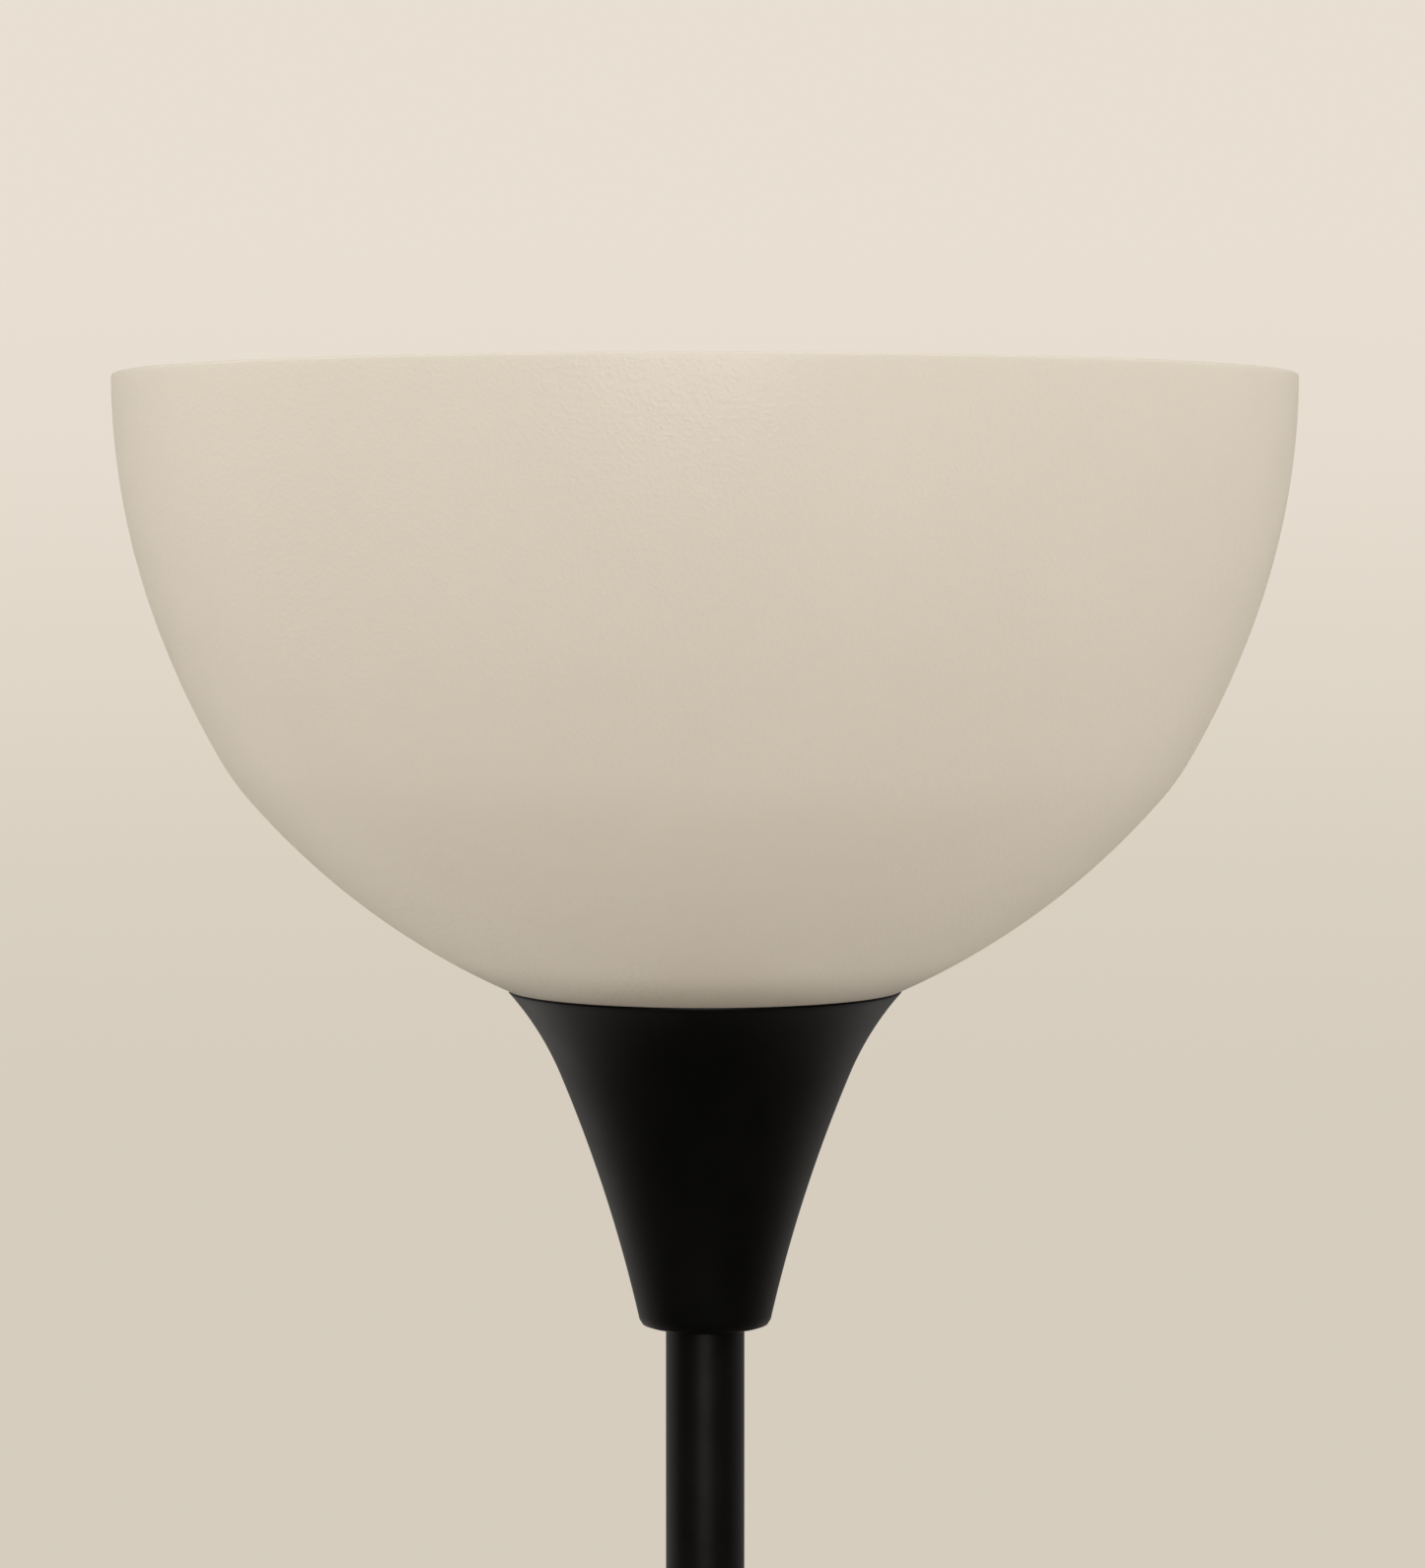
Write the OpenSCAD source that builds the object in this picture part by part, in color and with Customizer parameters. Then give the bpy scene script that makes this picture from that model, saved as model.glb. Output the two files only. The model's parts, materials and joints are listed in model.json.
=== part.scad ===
/* [Overall] */
// Height of the shade's rim above the floor
total_h = 1800; // [1700:10:1900]
// Outer diameter of the shade at its rim
shade_d = 280; // [274:2:286]
// Outer diameter of the pole's tubes
tube_d = 18.8; // [17.5:0.1:19.5]
// Outer diameter of the weighted base
base_d = 255; // [235:5:275]

/* [Shade] */
// Wall thickness of the moulded shade
shade_wall = 2; // [1.5:0.5:2.5]
// Diameter of the hole that drops over the lampholder
shade_hole_d = 41; // [40.5:0.5:43]

/* [Cup under the shade] */
// Outer diameter of the flared cup at its foot
cup_foot_d = 27.6; // [27.4:0.1:28]
// Wall thickness of the flared cup
cup_wall = 2; // [1.5:0.5:2.5]
// Depth of the socket that takes the top of the pole
cup_socket = 12; // [10:1:14]

/* [Pole and switch] */
// Wall thickness of the tubes
tube_wall = 0.8; // [0.6:0.1:1]
// Height of the switch knob's axis above the floor
switch_z = 1052; // [950:1:1150]
// Diameter of the switch housing
housing_d = 28; // [27:1:30]
// Length of the switch housing with its two end caps
housing_h = 60; // [58:1:70]
// Diameter of the knob
knob_d = 16; // [14:1:20]

/* [Base] */
// Height of the cover's upright edge
skirt_h = 14; // [13:1:18]
// Thickness of the foam pad under the base
pad_h = 2; // [1.5:0.5:3]
// Thickness of the pressed steel cover
cover_wall = 0.8; // [0.6:0.1:1.2]

/* [Bulb] */
// Diameter of the bulb's globe
globe_d = 60; // [55:1:60]
// Length of the bulb from its contact to its top
bulb_h = 108; // [104:1:112]

/* [Hidden] */

$fn = 96;
steps = 8;               // straight pieces in each arc of an outline
gap = 0.05;              // room between pieces that are screwed or pushed together

// The thread that joins the pole's pieces: a hollow nipple of 10 mm
nipple_r = 4.95;
nipple_bore_r = 3.5;
thread_r = nipple_r + gap;
nut_flats = 14;
nut_h = 3.5;
insert_h = 14;

// Shade: arcs that follow each other without a kink, from the upright rim to the flat floor
shade_scale = shade_d / 280;
shade_radii = [172, 204, 57, 176, 15] * shade_scale;
shade_angles = [19.8, 29.9, 40.4, 69.7, 90];
shade_line = chain([shade_d / 2, 0], 0, shade_radii, shade_angles, -1);
floor_z = total_h - shade_line[len(shade_line) - 1][1];

// Cup: a rounded foot edge, then two arcs that flare ever faster
cup_foot_r = cup_foot_d / 2;
cup_radii = [-2, 354, 71];
cup_angles = [12.75, 22.8, 42.1];
cup_inner_angles = [12.75, 22.8, 37];
cup_drop = 75.1;         // from the shade's floor down to the cup's foot
cup_web = 3;
cup_z = floor_z - cup_drop;
web_z = cup_z + cup_socket;
web_top = web_z + cup_web;

// Base
base_r = base_d / 2;
dome_slope = 8;          // degrees at the dome's edge
skirt_round = 6;
seat_r = 16;             // flat at the middle of the cover, which the pole stands on
recess_r = 30;
recess_h = 10;
weight_r = base_r - cover_wall - 0.2;
dome_edge = [base_r - skirt_round * (1 - sin(dome_slope)), pad_h + skirt_h + skirt_round * cos(dome_slope)];
dome_r = dome_edge[0] / sin(dome_slope);
dome_centre_z = dome_edge[1] - dome_r * cos(dome_slope);
cover_top = dome_centre_z + sqrt(dome_r * dome_r - seat_r * seat_r);
collar_h = 9;

// Cord inlet
gland_z = 9.2;
gland_bore_r = 3.1;
gland_r = 4.6;
gland_flange_r = 5.8;
gland_len = 12;
gland_out = 2;           // how far the flange stands out of the skirt

// Pole
tube_r = tube_d / 2;
tube_in_r = tube_r - tube_wall;
cap_socket = 5;          // how far a tube goes into an end cap of the switch housing
cap_web = 3;
cap_rim = 6;             // length of an end cap outside the housing's shell
housing_z = switch_z - housing_h / 2;
housing_top = switch_z + housing_h / 2;
lower_end = housing_z + cap_socket;
upper_start = housing_top - cap_socket;
middle_joint = (cover_top + lower_end) / 2;

// Switch
housing_wall = 1.5;
housing_r = housing_d / 2;
boss_y = -housing_r - 1.5;
boss_r = 6.8;
bushing_r = 4;
spindle_r = 2.5;
block_size = [14, 13, 20];
block_front = -5;
switch_nut_h = 2;
switch_nut_r = 5.8;
knob_back = boss_y - switch_nut_h - 0.6;
knob_len = 14;
flutes = 12;
screw_drop = cap_rim + 2;

// Lampholder
holder_r = 19.75;
holder_in_r = 17.3;
holder_mouth = floor_z + 16;
flange_r = 23;
flange_h = 3;
dome_z = web_top + 1 + nut_h + 0.3;
holder_z = dome_z + 20;
core_r = holder_in_r - gap;
core_z = holder_z + 6;
shell_r = 13.7;
shell_wall = 0.4;
ring_r = 28.5;
ring_h = 10;

// Bulb
tip_z = holder_mouth - 28;
cap_r = 13.1;
cap_z = tip_z + 5.5;
cap_top = tip_z + 25.5;
globe_r = globe_d / 2;
globe_z = tip_z + bulb_h - globe_r;
globe_cut = 14;          // how far below its widest ring the globe is cut
globe_wall = 1;
globe_foot = globe_z - globe_cut;
globe_foot_r = sqrt(globe_r * globe_r - globe_cut * globe_cut);

// Leads
lead_r = 1;
lead_x = 1.4;
terminal_x = 5.2;        // the screws beside the ends of the wires

// Points [r, run, angle] along arcs that are tangent to each other. The angle is measured from upright,
// run is the distance along the axis, and side is -1 where the outline closes in and 1 where it flares.
function chain(start, from, radii, ends, side, i = 0) = i == len(radii) ? [] :
    concat([for (k = [i == 0 ? 0 : 1 : steps])
            let (a = from + (ends[i] - from) * k / steps) arc_point(start, from, a, radii[i], side)],
        chain(arc_point(start, from, ends[i], radii[i], side), ends[i], radii, ends, side, i + 1));
function arc_point(start, from, a, r, side) =
    [start[0] + side * r * (cos(from) - cos(a)), start[1] + r * (sin(a) - sin(from)), a];
function reversed(list) = [for (i = [len(list) - 1 : -1 : 0]) list[i]];

// The shade's and the cup's walls, set in from the outside by t
function shade_side(t) = [for (p = shade_line) [p[0] - t * cos(p[2]), total_h - p[1] + t * sin(p[2])]];
function cup_side(t, ends) = [for (p = chain([cup_foot_r, 0], 90, cup_radii, ends, 1))
    [p[0] - t * cos(p[2]), cup_z + p[1] + t * sin(p[2])]];

// The base cover's outline from its lower edge to the flat seat, set in by t
function cover_side(t) = concat([[base_r - t, pad_h]],
    [for (k = [0 : steps]) let (a = (90 - dome_slope) * k / steps)
        [base_r - skirt_round + (skirt_round - t) * cos(a), pad_h + skirt_h + (skirt_round - t) * sin(a)]],
    [for (k = [1 : steps]) let (r = dome_edge[0] + (seat_r - dome_edge[0]) * k / steps)
        [r, dome_centre_z + sqrt(pow(dome_r - t, 2) - r * r)]]);

module lathe(points) rotate_extrude() polygon(points);

module sleeve(r, bore, z, h) translate([0, 0, z]) difference() {
    cylinder(r = r, h = h);
    translate([0, 0, -1]) cylinder(r = bore, h = h + 2);
}

// A round bar or sleeve that lies along -Y, from y_back out to y_front
module front_bar(r, y_back, y_front) translate([0, y_back, switch_z]) rotate([90, 0, 0])
    cylinder(r = r, h = y_back - y_front);

module hex_nut(z) translate([0, 0, z]) difference() {
    cylinder(r = nut_flats / 2 / cos(30), h = nut_h, $fn = 6);
    translate([0, 0, -1]) cylinder(r = thread_r, h = nut_h + 2);
}

// ---- base ----

module base_pad() color("dimgray") sleeve(weight_r - 3, recess_r, 0, pad_h);

module base_weight() color("gray") difference() {
    lathe(concat([[thread_r + 1, pad_h], [weight_r, pad_h]], cover_side(cover_wall + 0.2),
        [[thread_r + 1, cover_top - cover_wall - 0.2]]));
    translate([0, 0, pad_h - 1]) cylinder(r = recess_r, h = recess_h + 1);
    // channel that takes the cord from its inlet to the middle
    translate([-gland_flange_r - 0.7, 0, pad_h - 1]) cube([2 * gland_flange_r + 1.4, base_r, skirt_h + 0.7]);
}

module base_cover() color("black") difference() {
    lathe(concat(cover_side(0), [[thread_r, cover_top], [thread_r, cover_top - cover_wall]],
        reversed(cover_side(cover_wall))));
    translate([0, 0, gland_z]) rotate([-90, 0, 0]) cylinder(r = gland_r + gap, h = base_r + 1);
}

module base_collar() color("black") lathe([[tube_r + gap, cover_top], [seat_r - 1.5, cover_top],
    [seat_r - 1.5, cover_top + 2.5], [tube_r + 2.2, cover_top + collar_h - 1],
    [tube_r + 1.4, cover_top + collar_h], [tube_r + gap, cover_top + collar_h]]);

module base_washer() color("silver") sleeve(recess_r - 8, thread_r, pad_h + recess_h - 2, 2);

module base_nipple() color("silver")
    sleeve(nipple_r, nipple_bore_r, pad_h + 3, cover_top + insert_h - 2 - pad_h - 3);

// A bush with a flange outside the skirt and a clip ring inside it
module cord_gland() color("black") translate([0, base_r + gland_out, gland_z]) rotate([90, 0, 0]) difference() {
    union() {
        cylinder(r = gland_flange_r, h = gland_out - gap);
        cylinder(r = gland_r, h = gland_len);
        translate([0, 0, gland_out + cover_wall + 0.5]) cylinder(r = gland_flange_r - 0.4, h = 2);
    }
    translate([0, 0, -1]) cylinder(r = gland_bore_r, h = gland_len + 2);
}

// ---- pole ----

module tube(z0, z1) color([0.05, 0.05, 0.05]) sleeve(tube_r, tube_in_r, z0, z1 - z0);

module lower_tube() tube(cover_top, middle_joint);

module middle_tube() tube(middle_joint, lower_end);

module upper_tube() tube(upper_start, web_z);

// Threaded ends pressed into the tubes, a little below each end
module tube_inserts() color("silver")
    for (z = [cover_top, middle_joint - insert_h, middle_joint, lower_end - insert_h, upper_start, web_z - insert_h])
        sleeve(tube_in_r - gap / 2, thread_r, z + 0.1, insert_h - 0.2);

module tube_nipple() color("silver") sleeve(nipple_r, nipple_bore_r, middle_joint - 12, 24);

module switch_nipples() color("silver") for (z = [lower_end - 12, upper_start - 10])
    sleeve(nipple_r, nipple_bore_r, z, 22);

module nipple_nuts() color("silver")
    for (z = [pad_h + recess_h - 2 - nut_h, lower_end + cap_web, upper_start - cap_web - nut_h, web_top + 1])
        hex_nut(z);

// ---- switch on the pole ----

module switch_housing() color([0.05, 0.05, 0.05]) difference() {
    union() {
        sleeve(housing_r, housing_r - housing_wall, housing_z + cap_rim, housing_h - 2 * cap_rim);
        difference() {
            front_bar(boss_r, 0, boss_y);
            translate([0, 0, housing_z]) cylinder(r = housing_r - housing_wall, h = housing_h);
        }
    }
    front_bar(bushing_r + gap, 0, boss_y - 1);
    for (z = [housing_z + screw_drop, housing_top - screw_drop])
        translate([-housing_r - 1, 0, z]) rotate([0, 90, 0]) cylinder(r = 1.6, h = 2 * housing_r + 2, $fn = 24);
}

// One end of the housing: a tapered rim, a spigot, a socket for the tube and a web for the nipple
module end_cap() difference() {
    lathe([[thread_r, cap_socket], [tube_r + gap, cap_socket], [tube_r + gap, 0], [tube_r + 1.6, 0],
        [tube_r + 2.4, 0.8], [housing_r - 0.6, cap_rim - 1], [housing_r, cap_rim - gap],
        [housing_r - housing_wall - gap, cap_rim - gap], [housing_r - housing_wall - gap, cap_rim + 5],
        [housing_r - housing_wall - 2, cap_rim + 5], [housing_r - housing_wall - 2, cap_socket + cap_web],
        [thread_r, cap_socket + cap_web]]);
    translate([-housing_r, 0, screw_drop]) rotate([0, 90, 0]) cylinder(r = 1.5, h = 2 * housing_r, $fn = 24);
}

module switch_lower_cap() color("black") translate([0, 0, housing_z]) end_cap();

module switch_upper_cap() color("black") translate([0, 0, housing_top]) mirror([0, 0, 1]) end_cap();

module housing_screws() color("silver")
    for (z = [housing_z + screw_drop, housing_top - screw_drop], side = [-1, 1])
        translate([side * (housing_r - 3.4), 0, z]) rotate([0, side * 90, 0]) {
            cylinder(r = 1.45, h = 3.2, $fn = 24);
            translate([0, 0, 3.2]) cylinder(r = 1.55, h = 0.4, $fn = 24);
        }

module switch_block() color("saddlebrown") difference() {
    translate([-block_size[0] / 2, block_front, switch_z - block_size[2] / 2]) cube(block_size);
    front_bar(spindle_r + gap, block_front + 3, block_front - 1);
}

module switch_bushing() color("goldenrod") difference() {
    front_bar(bushing_r, block_front, boss_y - 4);
    front_bar(spindle_r + gap, block_front + 1, boss_y - 5);
}

module switch_nut() color("silver") difference() {
    front_bar(switch_nut_r, boss_y, boss_y - switch_nut_h);
    front_bar(bushing_r + gap, boss_y + 1, boss_y - switch_nut_h - 1);
}

module switch_spindle() color("goldenrod") front_bar(spindle_r, block_front + 2.5, knob_back - knob_len + 3);

module switch_knob() color([0.07, 0.07, 0.07]) difference() {
    front_bar(knob_d / 2, knob_back, knob_back - knob_len);
    front_bar(spindle_r + 0.02, knob_back + 1, knob_back - knob_len + 3);
    front_bar(bushing_r + 0.4, knob_back + 1, boss_y - 4.6);
    for (a = [360 / flutes / 2 : 360 / flutes : 360])
        translate([(knob_d / 2 + 0.7) * sin(a), 0, (knob_d / 2 + 0.7) * cos(a)])
            front_bar(1.3, knob_back - 2.5, knob_back - knob_len - 1);
}

// Two insulated wires, straight up the pole from the switch to the lampholder's terminals
module upper_leads() color("ivory") for (side = [-1, 1])
    translate([side * lead_x, 0, switch_z + block_size[2] / 2])
        cylinder(r = lead_r, h = core_z - 0.2 - switch_z - block_size[2] / 2);

// ---- head ----

module socket_cup() color([0.04, 0.04, 0.04]) lathe(concat([[tube_r + gap, cup_z]], cup_side(0, cup_angles),
    [for (p = reversed(cup_side(cup_wall, cup_inner_angles))) if (p[1] > web_top + 1) p],
    [[cup_foot_r, web_top], [thread_r, web_top], [thread_r, web_z], [tube_r + gap, web_z]]));

module head_nipple() color("silver") sleeve(nipple_r, nipple_bore_r, web_z - 10, dome_z + 9 - web_z + 10);

module head_washer() color("silver") sleeve(10, thread_r, web_top, 1);

module holder_dome() color([0.06, 0.06, 0.06]) lathe([[thread_r, dome_z], [9.5, dome_z], [9.5, dome_z + 7],
    [12, dome_z + 9.5], [16.5, dome_z + 12.5], [18.6, dome_z + 15.5], [19, holder_z - gap],
    [holder_in_r - gap, holder_z - gap], [holder_in_r - gap, holder_z + 4], [15.4, holder_z + 4],
    [15, dome_z + 15], [8, dome_z + 11], [thread_r, dome_z + 11]]);

module holder_body() color([0.06, 0.06, 0.06]) lathe([[holder_in_r, holder_z], [19, holder_z],
    [19, floor_z - flange_h], [flange_r, floor_z - flange_h], [flange_r, floor_z - gap],
    [holder_r, floor_z - gap], [holder_r, holder_mouth - 0.8], [holder_r - 0.8, holder_mouth],
    [15.4, holder_mouth], [15.4, holder_mouth - 2], [holder_in_r, holder_mouth - 2]]);

module holder_core() color("ivory") difference() {
    translate([0, 0, core_z]) cylinder(r = core_r, h = holder_mouth - 4 - core_z);
    translate([0, 0, tip_z - 4]) cylinder(r = shell_r, h = 60);
    for (side = [-1, 1]) translate([side * terminal_x, 0, core_z - 1]) cylinder(r = 1.45, h = 6, $fn = 24);
}

module holder_shell() color("silver") sleeve(shell_r - gap, shell_r - gap - shell_wall, tip_z + 2, 22);

// A springy strip: it lies on the core's floor and rises to meet the bulb's contact
module centre_contact() color("goldenrod") translate([0, 0, tip_z - 4]) {
    translate([-3, -9, gap]) cube([6, 12, 0.5]);
    translate([-3, 2.5, gap]) cube([6, 0.5, 3.2]);
    translate([-3, -3, 2.75 + gap]) cube([6, 6, 0.5]);
}

module terminal_screws() color("goldenrod") for (side = [-1, 1]) translate([side * terminal_x, 0, core_z]) {
    translate([0, 0, -2.2]) cylinder(r = 2.6, h = 2.2 - gap, $fn = 24);
    translate([0, 0, -1]) cylinder(r = 1.4, h = 5.5, $fn = 24);
}

module shade() color("antiquewhite") lathe(concat(shade_side(0),
    [[shade_hole_d / 2, floor_z], [shade_hole_d / 2, floor_z + shade_wall]], reversed(shade_side(shade_wall))));

// A threaded ring with a wide flange, screwed down on the shade's floor
module shade_ring() color([0.06, 0.06, 0.06]) translate([0, 0, floor_z + shade_wall + gap])
    lathe([[holder_r + gap, 0], [ring_r, 0], [ring_r, 2], [ring_r - 1, 3], [24.5, 3.4], [23.5, ring_h - 1],
        [22.5, ring_h], [holder_r + gap, ring_h]]);

// ---- bulb ----

module bulb_contact() color("silver") translate([0, 0, tip_z]) lathe([[0, 0], [3.6, 0], [4.8, 0.8], [4.8, 1.4],
    [0, 1.4]]);

module bulb_insulator() color("black") translate([0, 0, tip_z]) lathe([[0, 1.45], [5.2, 1.45], [10.5, 5.4],
    [12.5, 5.4], [12.5, 6.6], [0, 6.6]]);

module bulb_cap() color("silver") lathe([[cap_r - 0.6, cap_z], [cap_r - 0.2, cap_z], [cap_r, cap_z + 1],
    [cap_r, cap_top], [cap_r - 0.4, cap_top], [cap_r - 0.4, cap_z + 1.4], [cap_r - 0.6, cap_z + 1.2]]);

module bulb_driver() color("seagreen") translate([-8, -0.8, cap_z + 3]) cube([16, 1.6, globe_foot - cap_z - 12]);

module bulb_housing() color("white") lathe([[11, cap_top - 8], [cap_r - 0.45, cap_top - 8],
    [cap_r - 0.45, cap_top + gap], [13.6, cap_top + gap], [14.4, cap_top + 5], [16.6, cap_top + 14],
    [20.4, globe_foot - 14], [25, globe_foot - 4], [globe_foot_r, globe_foot], [globe_foot_r - 1.5, globe_foot],
    [globe_foot_r - 3.6, globe_foot - 4], [19, globe_foot - 14], [15, cap_top + 14], [12.6, cap_top + 5],
    [11, cap_top]]);

module bulb_board() color("white") translate([0, 0, globe_foot - 3.9])
    cylinder(r1 = globe_foot_r - 3.8, r2 = globe_foot_r - 3.1, h = 1.6);

module bulb_globe() color("white") difference() {
    translate([0, 0, globe_z]) sphere(r = globe_r);
    translate([0, 0, globe_z]) sphere(r = globe_r - globe_wall);
    translate([0, 0, globe_foot + gap - globe_d]) cylinder(r = globe_d, h = globe_d);
}

base_pad();
base_weight();
base_cover();
base_collar();
base_washer();
base_nipple();
cord_gland();
lower_tube();
middle_tube();
upper_tube();
tube_inserts();
tube_nipple();
switch_nipples();
nipple_nuts();
switch_housing();
switch_lower_cap();
switch_upper_cap();
housing_screws();
switch_block();
switch_bushing();
switch_nut();
switch_spindle();
switch_knob();
upper_leads();
socket_cup();
head_nipple();
head_washer();
holder_dome();
holder_body();
holder_core();
holder_shell();
centre_contact();
terminal_screws();
shade();
shade_ring();
bulb_contact();
bulb_insulator();
bulb_cap();
bulb_driver();
bulb_housing();
bulb_board();
bulb_globe();
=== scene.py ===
"""Torchiere floor lamp: a bowl shade of translucent plastic on a slim black pole."""
import json
import math
import bpy
import numpy as np
from mathutils import Matrix, Vector


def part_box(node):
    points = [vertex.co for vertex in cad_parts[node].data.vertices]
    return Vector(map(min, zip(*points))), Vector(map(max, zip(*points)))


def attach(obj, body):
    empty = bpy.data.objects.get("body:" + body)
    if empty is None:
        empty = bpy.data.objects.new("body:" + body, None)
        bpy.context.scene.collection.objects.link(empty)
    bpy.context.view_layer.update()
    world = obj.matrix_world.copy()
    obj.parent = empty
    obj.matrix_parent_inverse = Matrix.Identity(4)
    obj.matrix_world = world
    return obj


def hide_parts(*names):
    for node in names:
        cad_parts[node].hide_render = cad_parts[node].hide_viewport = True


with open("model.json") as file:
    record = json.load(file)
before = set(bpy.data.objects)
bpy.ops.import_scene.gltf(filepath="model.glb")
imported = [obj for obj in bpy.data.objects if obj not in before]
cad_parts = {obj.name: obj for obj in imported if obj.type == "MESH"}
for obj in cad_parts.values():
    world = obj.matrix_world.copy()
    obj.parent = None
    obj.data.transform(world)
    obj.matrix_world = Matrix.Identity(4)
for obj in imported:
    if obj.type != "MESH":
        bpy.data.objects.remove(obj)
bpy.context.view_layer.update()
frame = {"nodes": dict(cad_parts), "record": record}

MM = 0.001
TURN = 2 * np.pi


# ---- places and sizes that the frame gives ----

def low(node):
    """The height of the node's lowest point."""
    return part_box(node)[0].z


def high(node):
    """The height of the node's highest point."""
    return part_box(node)[1].z


def middle(node):
    """The height halfway up the node."""
    return (low(node) + high(node)) / 2


def reach(node):
    """The node's largest distance from the pole's axis."""
    points = np.empty(len(frame["nodes"][node].data.vertices) * 3)
    frame["nodes"][node].data.vertices.foreach_get("co", points)
    points = points.reshape(-1, 3)
    return float(np.hypot(points[:, 0], points[:, 1]).max())


RIM_Z = high("shade")
FLOOR_Z = low("shade")
SHADE_R = reach("shade")
CUP_Z = low("socket_cup")
CUP_TOP = high("socket_cup")
WEB_Z = high("upper_tube")
TUBE_R = reach("upper_tube")
SWITCH_Z = middle("switch_knob")
HOUSING_LOW = low("switch_lower_cap")
HOUSING_HIGH = high("switch_upper_cap")
BOSS_FRONT = -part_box("switch_housing")[0].y
KNOB_BACK = -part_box("switch_knob")[1].y
KNOB_FRONT = -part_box("switch_knob")[0].y
KNOB_R = (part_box("switch_knob")[1].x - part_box("switch_knob")[0].x) / 2
BASE_R = reach("base_cover")
COVER_LOW = low("base_cover")
GLAND_Z = middle("cord_gland")
GLAND_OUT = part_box("cord_gland")[1].y
HOLDER_MOUTH = high("holder_body")
HOLDER_LOW = low("holder_body")
CAP_LOW = low("bulb_cap")
CAP_TOP = high("bulb_cap")
GLOBE_FOOT = low("bulb_globe")
GLOBE_TOP = high("bulb_globe")
GLOBE_R = reach("bulb_globe")
GLOBE_CUT = math.asin((GLOBE_TOP - GLOBE_R - GLOBE_FOOT) / GLOBE_R)  # angle below its middle, to its foot

# ---- sizes that several pieces share ----

GAP = 0.05 * MM  # between pieces that sit in or on each other
SHADE_WALL = 2 * MM
SHADE_HOLE_R = 20.5 * MM
# Painted shade: over these heights the bowl's colour darkens towards the cup, in place of the shadow there.
PAINTED_SHADE_BAND = (1.5 * MM, 16 * MM)  # heights over the bowl's floor between which its dark band fades
CUP_FOOT_R = 13.8 * MM
TUBE_WALL = 0.8 * MM
HOLDER_R = 19 * MM
HOUSING_R = 14 * MM
CAP_RIM = 6 * MM  # height of the switch's end caps outside its shell
COVER_WALL = 0.8 * MM
SCREW_HEAD_R = 1.55 * MM
THREAD_PITCH = 3.629 * MM  # of the bulb's cap and its screw shell
THREAD_DEPTH = 0.95 * MM
SHARP_BEND = math.radians(35)  # edges that bend more stay crisp


# ---- outlines: arrays of [distance from the axis, height] ----

def tangent_arcs(start, heading, radii, ends, side, step):
    """Circular arcs that follow each other without a kink. The angle is measured from upright. On an arc
    of radius R that begins at angle a, the distance from the axis changes by side * R * (cos a - cos t)
    and the run by R * (sin t - sin a) as the angle t goes to the arc's end. Returns rows of [distance,
    run, angle]."""
    rows = [np.array([[start[0], start[1], heading]])]
    for radius, end in zip(radii, np.radians(ends)):
        x, run, a = rows[-1][-1]
        t = np.linspace(a, end, 1 + max(2, math.ceil(abs(radius * (end - a)) / step)))[1:]
        rows.append(np.column_stack((x + side * radius * (np.cos(a) - np.cos(t)),
                                     run + radius * (np.sin(t) - np.sin(a)), t)))
    return np.vstack(rows)


def set_in(line, depth):
    """An outline [distance, height, angle] moved towards the axis by depth, along its own normal."""
    return np.column_stack((line[:, 0] - depth * np.cos(line[:, 2]),
                            line[:, 1] + depth * np.sin(line[:, 2])))


def rounded(corners, closed=True):
    """A straight-sided outline whose corners [x, y, radius] are rounded: each corner is left and rejoined
    where a circle of its radius touches both sides, which is radius / tan(half the corner's angle) away
    from it. A corner without a radius stays sharp, as do the two ends of an open outline."""
    points = np.array([c[:2] for c in corners], float)
    radii = np.array([c[2] if len(c) > 2 else 0 for c in corners], float)
    count = len(points)
    straight, arc_step = 0.02, math.radians(14)
    parts = []
    for i in range(count):
        corner, radius = points[i], radii[i]
        if radius == 0 or (not closed and i in (0, count - 1)):
            parts.append(corner[None])
            continue
        back, on = points[i - 1] - corner, points[(i + 1) % count] - corner
        back, on = back / np.linalg.norm(back), on / np.linalg.norm(on)
        half = math.acos(np.clip(back @ on, -1, 1)) / 2
        bend = math.pi - 2 * half
        if bend < straight:
            parts.append(corner[None])
            continue
        centre = corner + (back + on) / np.linalg.norm(back + on) * radius / math.sin(half)
        first = corner + back * radius / math.tan(half) - centre
        last = corner + on * radius / math.tan(half) - centre
        k = np.linspace(0, 1, 1 + max(2, math.ceil(bend / arc_step)))[:, None]
        spokes = (np.sin((1 - k) * bend) * first + np.sin(k * bend) * last) / math.sin(bend)
        parts.append(centre + spokes)
    return np.vstack(parts)


def refined(outline, step, closed=True):
    """The same outline with points added along its straight sides, no further apart than step. An open
    outline comes back without its last point."""
    following = np.roll(outline, -1, axis=0)
    outline, following = (outline, following) if closed else (outline[:-1], following[:-1])
    parts = [a + (b - a) * np.arange(n)[:, None] / n
             for a, b in zip(outline, following)
             for n in [max(1, math.ceil(np.linalg.norm(b - a) / step))]]
    return np.vstack(parts)


def axis_to_axis(side, step):
    """An outline that begins and ends on the axis, refined."""
    return np.vstack((refined(side, step, closed=False), side[-1:]))


# ---- surfaces ----

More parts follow.
